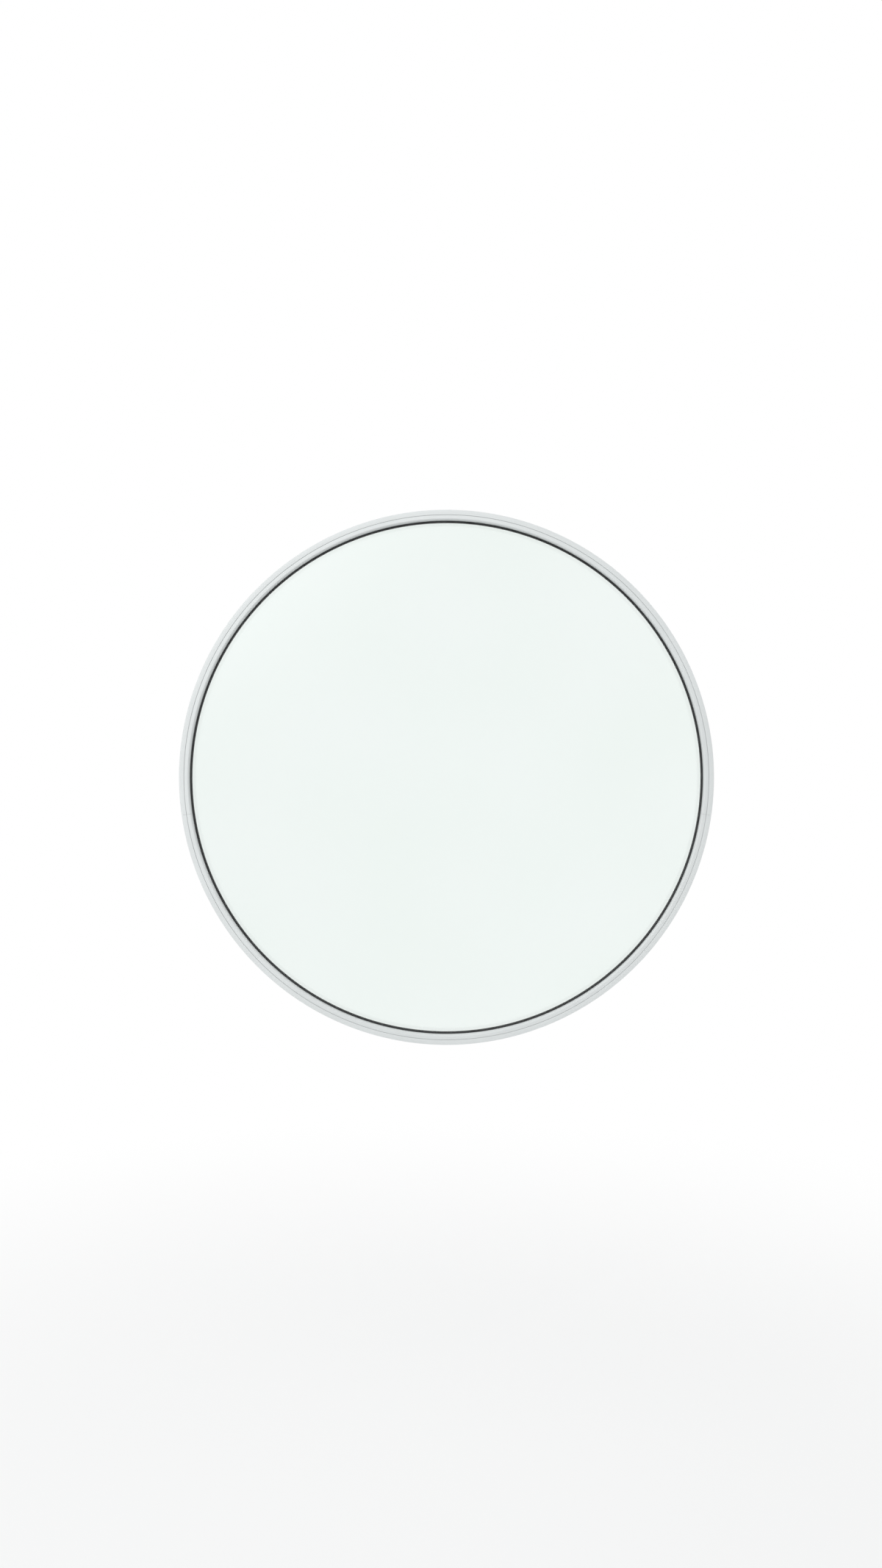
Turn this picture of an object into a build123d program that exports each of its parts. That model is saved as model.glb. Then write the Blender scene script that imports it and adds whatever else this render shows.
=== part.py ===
from build123d import *
import os
from math import degrees, sqrt

# A fixed round window: insulating glass in a frame of rolled aluminium
# extrusions with a thermal break, closed on the room side by a glazing bead.
# Millimetres. Y is the window's axis: the room is at -Y and the outside at +Y.
# The origin is on that axis, halfway through the frame's depth. Z is up.

# Frame
frame_radius = 575.0
frame_depth = 60.0
frame_face = 10.5
rim_thickness = 7.5
shell_wall = 1.6
room_shell_depth = 24.0
outside_shell_depth = 18.0
glazing_leg_depth = 9.0
glazing_leg_height = 10.0

# Thermal break bar between the two shells
bar_slot_depth = 3.0
bar_play = 0.1

# Butt joints: both lie this many degrees below the window's middle
joint_drop = 8.0
joint_gap = 0.3
splice_length = 100.0
splice_play = 0.15

# Glazing bead and the rib that it snaps behind
bead_face = 10.5
bead_wall = 1.4
bead_setback = 0.6
bead_bevel = 2.5
bead_gap = 0.4
rib_thickness = 1.4
rib_from_bead_end = 3.6
rib_play = 0.2
barb_height = 1.1
barb_length = 1.8

# Insulating glass unit
pane_thickness = 6.0
pane_gap = 16.0
glass_edge_gap = 4.5
spacer_height = 6.0
edge_seal_height = 3.5

# Gaskets
room_gasket_depth = 4.0
outside_gasket_depth = 4.5
room_lip = 2.5
outside_lip = 1.5
lip_edge = 1.2
groove_width = 2.0
groove_depth = 2.6
foot_play = 0.1
gasket_heel = 1.3

# Blocks between the glass edge and the rebate floor
block_play = 0.15
block_overhang = 1.0
setting_block_length = 100.0
setting_block_angle = 35.0
location_block_length = 70.0
location_block_angle = 40.0

# Holes for the frame screws, evenly round the room shell
fixing_hole_radius = 3.5
fixing_count = 6

# Drainage, either side of the lowest point
drain_angle = 12.0
drain_length = 25.0
rebate_drain_width = 2.8
face_drain_width = 3.0
drain_margin = 0.8
cover_past_ends = 4.5
cover_past_sides = 2.0
cover_depth = 5.0
cover_wall = 1.2
cover_corner = 1.5
cover_leg_length = 3.0
cover_play = 0.1

# How far a cutter runs past the wall that it goes through
overshoot = 1.0

# Depths along Y, from the room to the outside
room_face = -frame_depth / 2
outside_face = frame_depth / 2
room_shell_end = room_face + room_shell_depth
outside_shell_end = outside_face - outside_shell_depth
leg_seat = outside_face - glazing_leg_depth
outer_glass = leg_seat - outside_gasket_depth
unit_depth = 2 * pane_thickness + pane_gap
room_glass = outer_glass - unit_depth
bead_back = room_glass - room_gasket_depth
bead_front = room_face + bead_setback
rib_back = bead_back - rib_from_bead_end

# Radii, from the middle out
rebate_floor = frame_radius - rim_thickness
bead_line = frame_radius - frame_face
sight_radius = bead_line - bead_face
leg_tip = rebate_floor - glazing_leg_height
glass_radius = rebate_floor - glass_edge_gap
seal_inside = glass_radius - edge_seal_height
spacer_inside = seal_inside - spacer_height
chamber_inside = rebate_floor + shell_wall
chamber_outside = frame_radius - shell_wall
bead_outside = bead_line - bead_gap
rim_middle = (chamber_inside + chamber_outside) / 2

# Angles in degrees, anticlockwise from +X as seen from the room
right_joint = -joint_drop
left_joint = 180 + joint_drop
half_gap = degrees(joint_gap / 2 / frame_radius)
drain_angles = {"left": 270 - drain_angle, "right": 270 + drain_angle}


def section(*points):
    """A closed outline in the section plane, where X is the radius and Y the depth."""
    return make_face(Polyline(*points, close=True))


def slab(r0, r1, y0, y1):
    """A rectangular section between two radii and two depths."""
    return section((r0, y0), (r1, y0), (r1, y1), (r0, y1))


def ring(profile):
    """A section turned once round the window's axis."""
    return revolve(profile, Axis.Y, 360)


def arc(profile, start, end):
    """A section turned from one angle to another."""
    return revolve(Rot(0, -end, 0) * profile, Axis.Y, end - start)


def upper(profile):
    """The longer arc, over the top from one butt joint to the other."""
    return arc(profile, right_joint + half_gap, left_joint - half_gap)


def lower(profile):
    """The shorter arc, under the window from one butt joint to the other."""
    return arc(profile, left_joint + half_gap, right_joint + 360 - half_gap)


def at(angle, shape):
    """A shape made about the +X radius, turned to its angle."""
    return Rot(0, -angle, 0) * shape


def radial_rod(radius, r0, r1, y):
    """A round rod along a radius, between two distances from the axis."""
    return Pos((r0 + r1) / 2, y, 0) * Rot(0, 90, 0) * Cylinder(radius, r1 - r0)


def bar_slot(end, inward):
    """Corners of the slot for the thermal break bar, in a shell's end."""
    floor = end + inward * bar_slot_depth
    return [(chamber_outside, end), (chamber_outside, floor), (chamber_inside, floor), (chamber_inside, end)]


def gasket_groove(edge, wall, seat, inward):
    """Corners of a gasket groove, one wall away from the edge at the glass."""
    near = edge + wall
    far = near + groove_width
    floor = seat + inward * groove_depth
    return [(near, seat), (near, floor), (far, floor), (far, seat)]


def room_chamber(play):
    """Section of the room shell's hollow, less a play all round."""
    return slab(
        chamber_inside + play,
        chamber_outside - play,
        room_face + shell_wall + play,
        room_shell_end - bar_slot_depth - shell_wall - play,
    )


def outside_chamber(play):
    """Section of the outside shell's rim hollow, less a play all round."""
    return slab(
        chamber_inside + play,
        chamber_outside - play,
        outside_shell_end + bar_slot_depth + shell_wall + play,
        outside_face - shell_wall - play,
    )


def room_shell_section():
    """Hollow rim with a lip at the room face and the rib for the bead."""
    rib_front = rib_back - rib_thickness
    rib_tip = bead_outside + rib_play
    outline = section(
        (frame_radius, room_face),
        (frame_radius, room_shell_end),
        *bar_slot(room_shell_end, -1),
        (rebate_floor, room_shell_end),
        (rebate_floor, rib_back),
        (rib_tip, rib_back),
        (rib_tip, rib_front),
        (rebate_floor, rib_front),
        (rebate_floor, room_face + shell_wall),
        (bead_line, room_face + shell_wall),
        (bead_line, room_face),
    )
    return outline - room_chamber(0)


def outside_shell_section():
    """Hollow rim with the fixed glazing leg and its gasket groove."""
    outline = section(
        (frame_radius, outside_face),
        (leg_tip, outside_face),
        (leg_tip, leg_seat),
        *gasket_groove(leg_tip, shell_wall, leg_seat, 1),
        (rebate_floor, leg_seat),
        (rebate_floor, outside_shell_end),
        *reversed(bar_slot(outside_shell_end, 1)),
        (frame_radius, outside_shell_end),
    )
    leg_hollow = slab(
        leg_tip + shell_wall,
        chamber_outside,
        leg_seat + groove_depth + shell_wall,
        outside_face - shell_wall,
    )
    return outline - outside_chamber(0) - leg_hollow


def bar_section():
    """Plastic bar that joins the two shells and keeps the cold out."""
    return slab(
        chamber_inside + bar_play,
        chamber_outside - bar_play,
        room_shell_end - bar_slot_depth + bar_play,
        outside_shell_end + bar_slot_depth - bar_play,
    )


def bead_section():
    """Open bead with a bevelled nose, a gasket groove and a barbed leg."""
    flank_inside = sight_radius + bead_wall
    face_inside = bead_front + bead_wall
    groove = gasket_groove(sight_radius, bead_wall, bead_back, -1)
    housing_side = groove[-1][0] + bead_wall
    housing_end = bead_back - groove_depth - bead_wall
    leg_inside = bead_outside - bead_wall
    barb = rib_back + rib_play
    outline = section(
        (sight_radius, bead_front),
        (sight_radius, bead_back),
        *groove,
        (housing_side, bead_back),
        (housing_side, housing_end),
        (flank_inside, housing_end),
        (flank_inside, face_inside),
        (leg_inside, face_inside),
        (leg_inside, barb + barb_length),
        (bead_outside, barb + barb_length),
        (bead_outside + barb_height, barb),
        (bead_outside, barb),
        (bead_outside, bead_front),
    )
    outer = outline.vertices().sort_by_distance((sight_radius, bead_front))[0]
    outline = chamfer(outer, bead_bevel)
    inner = outline.vertices().sort_by_distance((flank_inside, face_inside))[0]
    return chamfer(inner, bead_bevel - bead_wall * (2 - sqrt(2)))


def gasket_section(edge, wall, lip, glass, seat):
    """Rubber between the glass and its seat, with a foot in the seat's groove."""
    inward = 1 if seat > glass else -1
    near = edge + wall + foot_play
    far = edge + wall + groove_width - foot_play
    foot = seat + inward * (groove_depth - foot_play)
    heel = far + gasket_heel
    return section(
        (edge - lip, glass),
        (edge - lip, glass + inward * lip_edge),
        (edge, seat),
        (near, seat),
        (near, foot),
        (far, foot),
        (far, seat),
        (heel, seat),
        (heel, glass),
    )


def drill_fixings(shell):
    """Radial holes for the frame screws, between the lip and the bead's rib."""
    depth = (room_face + shell_wall + rib_back - rib_thickness) / 2
    drill = radial_rod(fixing_hole_radius, rebate_floor - overshoot, frame_radius + overshoot, depth)
    step = 360 / fixing_count
    for i in range(fixing_count):
        shell -= at(step * (i + 0.5), drill)
    return shell


def splice_bar(chamber, joint):
    """Curved bar in a rim's hollow, half of it on each side of a butt joint."""
    reach = degrees(splice_length / 2 / frame_radius)
    return arc(chamber(splice_play), joint - reach, joint + reach)


def drain_slot(width, radius, depth, normal):
    """Slot cutter along the rim, through one wall."""
    mouth = Plane(origin=(radius, depth, 0), x_dir=(0, 0, 1), z_dir=normal)
    return extrude(mouth * SlotOverall(drain_length, width), shell_wall / 2 + overshoot, both=True)


def cut_drains(shell):
    """Drain slots from the rebate into the hollow rim, and out of its face."""
    rebate_depth = leg_seat - drain_margin - rebate_drain_width / 2
    slots = [
        drain_slot(rebate_drain_width, rebate_floor + shell_wall / 2, rebate_depth, (1, 0, 0)),
        drain_slot(face_drain_width, rim_middle, outside_face - shell_wall / 2, (0, 1, 0)),
    ]
    for angle in drain_angles.values():
        for slot in slots:
            shell -= at(angle, slot)
    return shell


def weep_cover():
    """Small hood over a face drain, open to the frame and downwards."""
    cover_height = face_drain_width + 2 * cover_past_sides
    cover_length = drain_length + 2 * cover_past_ends
    hood = Pos(rim_middle, outside_face + cover_depth / 2, 0) * Box(cover_height, cover_depth, cover_length)
    front = hood.faces().sort_by(Axis.Y)[-1]
    hood = fillet(front.edges(), cover_corner)
    inside = Box(cover_height, cover_depth, cover_length - 2 * cover_wall)
    hood -= Pos(rim_middle + cover_wall, outside_face + cover_depth / 2 - cover_wall, 0) * inside
    leg_length = cover_leg_length + cover_depth - cover_wall
    leg = Box(face_drain_width - 2 * cover_play, leg_length, cover_wall)
    leg_place = outside_face - cover_leg_length + leg_length / 2
    for side in (-1, 1):
        hood += Pos(rim_middle, leg_place, side * (drain_length / 2 - face_drain_width)) * leg
    return hood


def block(angle, length):
    """Plastic block that carries or steadies the glass in the rebate."""
    half = degrees(length / 2 / glass_radius)
    profile = slab(
        glass_radius + block_play,
        rebate_floor - block_play,
        room_glass - block_overhang,
        outer_glass + block_overhang,
    )
    return arc(profile, angle - half, angle + half)


def pane(room_side):
    """Round glass pane, given the depth of its room side."""
    return Pos(0, room_side + pane_thickness / 2, 0) * Rot(90, 0, 0) * Cylinder(glass_radius, pane_thickness)


room_shell = room_shell_section()
outside_shell = outside_shell_section()
bead = bead_section()
bar = bar_section()
cavity_start = room_glass + pane_thickness
cavity_end = outer_glass - pane_thickness

parts = {
    "room_frame_upper": drill_fixings(upper(room_shell)),
    "room_frame_lower": drill_fixings(lower(room_shell)),
    "outside_frame_upper": upper(outside_shell),
    "outside_frame_lower": cut_drains(lower(outside_shell)),
    "thermal_bar_upper": upper(bar),
    "thermal_bar_lower": lower(bar),
    "glazing_bead_upper": upper(bead),
    "glazing_bead_lower": lower(bead),
    "room_gasket": ring(gasket_section(sight_radius, bead_wall, room_lip, room_glass, bead_back)),
    "outside_gasket": ring(gasket_section(leg_tip, shell_wall, outside_lip, outer_glass, leg_seat)),
    "room_pane": pane(room_glass),
    "outside_pane": pane(cavity_end),
    "spacer_bar": ring(slab(spacer_inside, seal_inside, cavity_start, cavity_end)),
    "edge_seal": ring(slab(seal_inside, glass_radius, cavity_start, cavity_end)),
}

for side, joint in (("left", left_joint), ("right", right_joint)):
    parts[f"room_splice_{side}"] = splice_bar(room_chamber, joint)
    parts[f"outside_splice_{side}"] = splice_bar(outside_chamber, joint)

for side, turn in (("left", -1), ("right", 1)):
    parts[f"setting_block_{side}"] = block(270 + turn * setting_block_angle, setting_block_length)
    parts[f"location_block_{side}"] = block(90 - turn * location_block_angle, location_block_length)
    parts[f"weep_cover_{side}"] = at(drain_angles[side], weep_cover())

os.makedirs("parts", exist_ok=True)
for name, shape in parts.items():
    export_step(shape, f"parts/{name}.step")
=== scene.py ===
"""Blender scene of a round fixed window: its pieces, their finishes, a studio and the camera."""

import logging
from dataclasses import dataclass, field
from enum import Enum
from math import atan2, cos, degrees, pi, radians, sin, sqrt, tau
from typing import Any, Callable, Iterable

import bmesh
import bpy
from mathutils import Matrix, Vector

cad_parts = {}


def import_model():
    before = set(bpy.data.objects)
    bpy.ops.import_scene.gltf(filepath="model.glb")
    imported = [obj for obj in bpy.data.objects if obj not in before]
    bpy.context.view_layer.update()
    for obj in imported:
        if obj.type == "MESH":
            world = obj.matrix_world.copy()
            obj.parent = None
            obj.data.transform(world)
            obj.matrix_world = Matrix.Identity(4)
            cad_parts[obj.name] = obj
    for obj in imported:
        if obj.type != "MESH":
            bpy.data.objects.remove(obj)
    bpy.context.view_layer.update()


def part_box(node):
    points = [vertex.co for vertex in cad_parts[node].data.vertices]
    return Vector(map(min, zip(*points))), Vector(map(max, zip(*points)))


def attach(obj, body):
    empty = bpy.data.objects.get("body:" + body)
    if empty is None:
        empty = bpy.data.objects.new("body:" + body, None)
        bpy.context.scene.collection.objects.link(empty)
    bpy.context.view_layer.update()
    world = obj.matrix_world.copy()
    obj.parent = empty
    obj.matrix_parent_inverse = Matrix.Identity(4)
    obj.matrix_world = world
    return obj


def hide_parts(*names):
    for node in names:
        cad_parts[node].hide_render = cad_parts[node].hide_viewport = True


LOG = logging.getLogger("round_window")

MM = 0.001
FULL_TURN = tau
BODY = "root"
AXIS = (0.0, 1.0, 0.0)
ORIGIN = (0.0, 0.0, 0.0)

# Meshing: points nearer than WELD become one, a corner is found again within SAME_PLACE, and two
# roundings that almost meet leave twice END_FLAT between them. ROUND_STEPS faces round a section's
# corner, and EDGE_STEPS an edge. A face looks along an axis when over SAME_WAY of its normal does.
WELD = 0.002 * MM
SAME_PLACE = WELD * 10
END_FLAT = WELD * 5
SEED_SIZE = 0.5 * MM
STEP_ANGLE = radians(1.0)
ROUND_STEPS = 4
EDGE_STEPS = 2
SMOOTH_ANGLE = radians(32.0)
SAME_WAY = 0.99

# The sRGB standard's curve: a straight toe, then a power.
TOE_END, TOE_SLOPE, CURVE_OFFSET, CURVE_POWER = 0.04045, 12.92, 0.055, 2.4
WHITE = (1.0, 1.0, 1.0, 1.0)

# Sockets of the Mix node where it mixes colours.
MIX_FACTOR, MIX_FIRST, MIX_SECOND, MIX_RESULT = 0, 6, 7, 2

# Finer layers in a finish's noises and their strength, and the noise values between which the
# patches go from one colour to the other, and the grain from the lowest roughness to the highest.
PATCH_DETAIL, PATCH_ROUGHNESS, PATCH_FROM, PATCH_TO = 3.0, 0.55, 0.35, 0.65
GRAIN_DETAIL, GRAIN_ROUGHNESS, GRAIN_FROM, GRAIN_TO = 2.0, 0.5, 0.3, 0.7


def linear_colour(code: str) -> tuple[float, float, float, float]:
    """Turns an sRGB hex colour into the linear values that a shader takes.

    Args:
        code: The colour as #RRGGBB.

    Returns:
        Red, green, blue and full alpha.
    """
    red, green, blue = (
        c / TOE_SLOPE if c <= TOE_END else ((c + CURVE_OFFSET) / (1 + CURVE_OFFSET)) ** CURVE_POWER
        for c in (int(code[i : i + 2], 16) / 255 for i in (1, 3, 5))
    )
    return red, green, blue, 1.0


def add_node(
    tree: bpy.types.NodeTree,
    kind: str,
    settings: dict[Any, Any] | None = None,
    links: dict[Any, Any] | None = None,
) -> bpy.types.Node:
    """Adds one shader node with its settings and links.

    Args:
        tree: The node tree that it goes into.
        kind: The node's type.
        settings: Values by the name or number of an input, or by the name of a property.
        links: Output sockets by the name or number of the input that each feeds.

    Returns:
        The new node.
    """
    node = tree.nodes.new(kind)
    for key, value in (settings or {}).items():
        if isinstance(key, int) or key in node.inputs:
            node.inputs[key].default_value = value
        else:
            setattr(node, key, value)
    for key, socket in (links or {}).items():
        tree.links.new(socket, node.inputs[key])
    return node


def new_material(name: str) -> tuple[bpy.types.Material, bpy.types.NodeTree, bpy.types.NodeSocket]:
    """Starts a node material.

    Args:
        name: The material's name.

    Returns:
        The material, its tree, and the socket that gives the object's coordinates.
    """
    material = bpy.data.materials.new(name)
    material.use_nodes = True
    tree = material.node_tree
    tree.nodes.clear()
    return material, tree, add_node(tree, "ShaderNodeTexCoord").outputs["Object"]


@dataclass(frozen=True)
class Finish:
    """A surface finish: two close colours in soft patches, a fine grain in relief, and its gloss.

    Args:
        name: The material's name.
        colour: Main colour, sRGB.
        shade: Second colour, sRGB, which the patches drift towards.
        patch: Size of the patches, in metres.
        grain: Size of the grain, in metres.
        relief: Height of the grain, in metres.
        roughness: Lowest and highest roughness.
        metallic: 1 for bare metal.
        ior: Index of refraction, or None to keep the shader's own.
    """

    name: str
    colour: str
    shade: str
    patch: float
    grain: float
    relief: float
    roughness: tuple[float, float]
    metallic: float = 0.0
    ior: float | None = None

    def make(self) -> bpy.types.Material:
        """Builds the material.

        Returns:
            The material with all its nodes.
        """
        material, tree, place = new_material(self.name)
        noise = {"Scale": 1 / self.patch, "Detail": PATCH_DETAIL, "Roughness": PATCH_ROUGHNESS}
        patches = add_node(tree, "ShaderNodeTexNoise", noise, {"Vector": place})
        span = {"From Min": PATCH_FROM, "From Max": PATCH_TO}
        drift = add_node(tree, "ShaderNodeMapRange", span, {"Value": patches.outputs["Fac"]})
        tones = {
            "data_type": "RGBA",
            MIX_FIRST: linear_colour(self.colour),
            MIX_SECOND: linear_colour(self.shade),
        }
        colour = add_node(tree, "ShaderNodeMix", tones, {MIX_FACTOR: drift.outputs["Result"]})
        noise = {"Scale": 1 / self.grain, "Detail": GRAIN_DETAIL, "Roughness": GRAIN_ROUGHNESS}
        grain = add_node(tree, "ShaderNodeTexNoise", noise, {"Vector": place})
        low, high = self.roughness
        span = {"From Min": GRAIN_FROM, "From Max": GRAIN_TO, "To Min": low, "To Max": high}
        gloss = add_node(tree, "ShaderNodeMapRange", span, {"Value": grain.outputs["Fac"]})
        depth = {"Strength": 1.0, "Distance": self.relief}
        bump = add_node(tree, "ShaderNodeBump", depth, {"Height": grain.outputs["Fac"]})
        looks = {
            "Base Color": colour.outputs[MIX_RESULT],
            "Roughness": gloss.outputs["Result"],
            "Normal": bump.outputs["Normal"],
        }
        shader = add_node(tree, "ShaderNodeBsdfPrincipled", {"Metallic": self.metallic}, looks)
        if self.ior is not None:
            shader.inputs["IOR"].default_value = self.ior
        add_node(tree, "ShaderNodeOutputMaterial", links={"Surface": shader.outputs["BSDF"]})
        return material


@dataclass(frozen=True)
class GlassFinish:
    """A clear glass: its tint drifts between two close ones, and slow waves run over its faces.

    Args:
        name: The material's name.
        colour: Tint of what is seen through it, sRGB.
        shade: Second tint, sRGB, which it drifts towards.
        wave: Length of the waves, in metres.
        relief: Height of the waves, in metres.
        ior: Index of refraction.
    """

    name: str = "clear_float_glass"
    colour: str = "#F8FBFA"
    shade: str = "#F6FAF8"
    wave: float = 240 * MM
    relief: float = 0.01 * MM
    ior: float = 1.52

    def make(self) -> bpy.types.Material:
        """Builds the material.

        Returns:
            The material with all its nodes.
        """
        material, tree, place = new_material(self.name)
        noise = {"Scale": 1 / self.wave, "Detail": 0.0}
        waves = add_node(tree, "ShaderNodeTexNoise", noise, {"Vector": place})
        tones = {
            "data_type": "RGBA",
            MIX_FIRST: linear_colour(self.colour),
            MIX_SECOND: linear_colour(self.shade),
        }
        tint = add_node(tree, "ShaderNodeMix", tones, {MIX_FACTOR: waves.outputs["Fac"]})
        depth = {"Strength": 1.0, "Distance": self.relief}
        bump = add_node(tree, "ShaderNodeBump", depth, {"Height": waves.outputs["Fac"]})
        polished = {"Roughness": 0.0, "IOR": self.ior, "Transmission Weight": 1.0}
        looks = {"Base Color": tint.outputs[MIX_RESULT], "Normal": bump.outputs["Normal"]}
        shader = add_node(tree, "ShaderNodeBsdfPrincipled", polished, looks)
        add_node(tree, "ShaderNodeOutputMaterial", links={"Surface": shader.outputs["BSDF"]})
        return material


# The grain of the rubber, polyamide, foam, metal and plastics is finer than a render can show, so
# it is drawn coarser, at 0.5 to 1.2 mm.

# Sprayed and baked on aluminium: an even pale grey with a satin shine and a faint orange peel,
# about 3 mm from crest to crest and a few thousandths of a millimetre high.
POWDER_COAT = Finish(
    "satin_powder_coat", "#DEE2E2", "#DADEDE",
    patch=180 * MM, grain=3.0 * MM, relief=0.006 * MM, roughness=(0.36, 0.4), ior=1.5,
)
# Extruded EPDM: soft black, dull, with a powdery bloom in patches.
GASKET_RUBBER = Finish(
    "extruded_epdm", "#1A1B1C", "#242628",
    patch=25 * MM, grain=0.8 * MM, relief=0.012 * MM, roughness=(0.62, 0.72), ior=1.5,
)
# Extruded polyamide filled with glass fibre: black and dull, with a slightly fibrous surface.
POLYAMIDE = Finish(
    "glass_filled_polyamide", "#1D1E20", "#2A2C2E",
    patch=12 * MM, grain=0.8 * MM, relief=0.015 * MM, roughness=(0.5, 0.62), ior=1.53,
)
# Flexible silicone foam: matt black, with a fine cut-cell surface.
SPACER_FOAM = Finish(
    "silicone_foam", "#1F2021", "#292A2B",
    patch=15 * MM, grain=1.2 * MM, relief=0.015 * MM, roughness=(0.82, 0.92), ior=1.41,
)
# Two-part polysulphide, trowelled flush with the edge of the glass: black and slightly uneven.
EDGE_SEALANT = Finish(
    "polysulphide_sealant", "#141516", "#1C1D1E",
    patch=30 * MM, grain=5.0 * MM, relief=0.12 * MM, roughness=(0.45, 0.6), ior=1.5,
)
# Aluminium as extruded or cold headed: bare grey metal whose sheen is a little uneven.
MILL_ALUMINIUM = Finish(
    "mill_finish_aluminium", "#C4C6C8", "#BBBDC0",
    patch=20 * MM, grain=0.5 * MM, relief=0.01 * MM, roughness=(0.3, 0.42), metallic=1.0,
)
# Moulded polypropylene packers: plain grey blue, slightly waxy.
BLOCK_PLASTIC = Finish(
    "moulded_polypropylene", "#4A6076", "#455A70",
    patch=20 * MM, grain=0.8 * MM, relief=0.02 * MM, roughness=(0.42, 0.55), ior=1.49,
)
# Moulded ABS in the frame's colour, with a fine eroded texture that takes the shine off.
COVER_PLASTIC = Finish(
    "moulded_abs", "#DDE1E1", "#D8DCDC",
    patch=30 * MM, grain=0.6 * MM, relief=0.02 * MM, roughness=(0.44, 0.56), ior=1.54,
)
# Toughened float glass: clear, polished, very faintly green, with slow waves in what it mirrors.
FLOAT_GLASS = GlassFinish()


@dataclass
class Paintbox:
    """Makes each finish once and puts it on pieces."""

    made: dict[str, bpy.types.Material] = field(default_factory=dict)

    def material(self, finish: Finish | GlassFinish) -> bpy.types.Material:
        """Gives a finish's material, made the first time that it is asked for.

        Args:
            finish: The finish.

        Returns:
            The material, which all the pieces in that finish share.
        """
        if finish.name not in self.made:
            self.made[finish.name] = finish.make()
        return self.made[finish.name]

    def dress(self, piece: bpy.types.Object, finish: Finish | GlassFinish) -> None:
        """Puts one finish all over a piece."""
        piece.data.materials.clear()
        piece.data.materials.append(self.material(finish))

    def dress_node(self, name: str, finish: Finish | GlassFinish) -> None:
        """Puts one finish on a solid of the frame, whose shape stays as it is.

        Args:
            name: The solid's name.
            finish: The finish.
        """
        for slot in bpy.data.objects[name].material_slots:
            slot.material = self.material(finish)
        LOG.info("%s keeps its shape, in %s", name, finish.name)


def add(primitive: Callable[..., set[str]], **options: Any) -> bpy.types.Object:
    """Adds a primitive, with all else deselected, because an operator acts on what is selected.

    Args:
        primitive: The operator that adds it.
        options: Its size and place.

    Returns:
        The new object.
    """
    bpy.ops.object.select_all(action="DESELECT")
    primitive(**options)
    return bpy.context.object


def choose(*pieces: bpy.types.Object) -> None:
    """Selects some objects alone and makes the last one active.

    Args:
        pieces: The objects.
    """
    bpy.ops.object.select_all(action="DESELECT")
    for piece in pieces:
        piece.select_set(True)
    bpy.context.view_layer.objects.active = pieces[-1]


class Part(Enum):
    """What a piece's mesh is made of."""

    POINTS = "verts"
    EDGES = "edges"
    FACES = "faces"


def select(piece: bpy.types.Object, part: Part, wanted: Callable[[Any], bool]) -> None:
    """Selects, in edit mode, the points, edges or faces that pass a test, and nothing else.

    Args:
        piece: The object in edit mode.
        part: What is selected.
        wanted: The test.
    """
    bpy.ops.mesh.select_all(action="DESELECT")
    mesh = bmesh.from_edit_mesh(piece.data)
    for element in getattr(mesh, part.value):
        if wanted(element):
            element.select_set(True)
    bmesh.update_edit_mesh(piece.data)


class Merge(Enum):
    """How a second solid is worked into a piece."""

    CUT = "DIFFERENCE"
    WELD = "UNION"


def merge(piece: bpy.types.Object, way: Merge, others: Iterable[bpy.types.Object]) -> None:
    """Cuts some solids out of a piece, or welds them to it, and deletes them.

    Args:
        piece: The piece that is changed.
        way: Whether the others are cut out or welded on.
        others: Closed solids, which are used up.
    """
    for other in others:
        modifier = piece.modifiers.new(way.name, "BOOLEAN")
        modifier.operation = way.value
        modifier.solver = "EXACT"
        modifier.object = other
        choose(piece)
        bpy.ops.object.modifier_apply(modifier=modifier.name)
        bpy.data.objects.remove(other)


def soften(piece: bpy.types.Object, width: float) -> None:
    """Rounds a piece's sharp edges.

    Args:
        piece: The piece, in object mode.
        width: How far each edge is rounded.
    """
    choose(piece)
    modifier = piece.modifiers.new("edges", "BEVEL")
    modifier.width = width
    modifier.segments = EDGE_STEPS
    bpy.ops.object.modifier_apply(modifier=modifier.name)


def add_block(middle: Iterable[float], size: Iterable[float]) -> bpy.types.Object:
    """Adds a rectangular block, upright.

    Args:
        middle: Where its middle is.
        size: Its size along each axis.

    Returns:
        The block, with its size and place in its mesh.
    """
    block = add(bpy.ops.mesh.primitive_cube_add, size=1.0, location=middle, scale=size)
    bpy.ops.object.transform_apply(location=True, rotation=False, scale=True)
    return block


def copy_of(piece: bpy.types.Object, place: Iterable[float], turn: float) -> bpy.types.Object:
    """Copies a piece, with a mesh of its own.

    Args:
        piece: The piece.
        place: Where the copy goes.
        turn: Its turn, clockwise as seen from the room.

    Returns:
        The copy.
    """
    choose(piece)
    bpy.ops.object.duplicate(linked=False)
    copy = bpy.context.object
    copy.location = place
    copy.rotation_euler = (0.0, turn, 0.0)
    return copy


def hand_over(
    piece: bpy.types.Object, paint: Paintbox, finish: Finish | GlassFinish, slot: str, *nodes: str
) -> None:
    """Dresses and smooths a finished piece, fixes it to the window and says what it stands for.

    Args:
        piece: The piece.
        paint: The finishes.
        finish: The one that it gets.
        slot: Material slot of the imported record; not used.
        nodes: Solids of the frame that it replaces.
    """
    paint.dress(piece, finish)
    choose(piece)
    bpy.ops.object.transform_apply(location=True, rotation=True, scale=True)
    bpy.ops.object.shade_smooth_by_angle(angle=SMOOTH_ANGLE)
    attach(piece, BODY)
    if nodes:
        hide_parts(*nodes)
    count = len(piece.data.polygons)
    LOG.info("%s: %d faces, for %s", piece.name, count, ", ".join(nodes) or "no solid")


@dataclass(frozen=True)
class Corner:
    """A corner of a section: radius and depth in metres, and how far it is rounded."""

    radius: float
    depth: float
    rounding: float = 0.0

    def place(self, angle: float) -> Vector:
        """Gives the corner's place in space, at an angle round the window."""
        return Vector((self.radius * cos(angle), self.depth, self.radius * sin(angle)))


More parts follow.
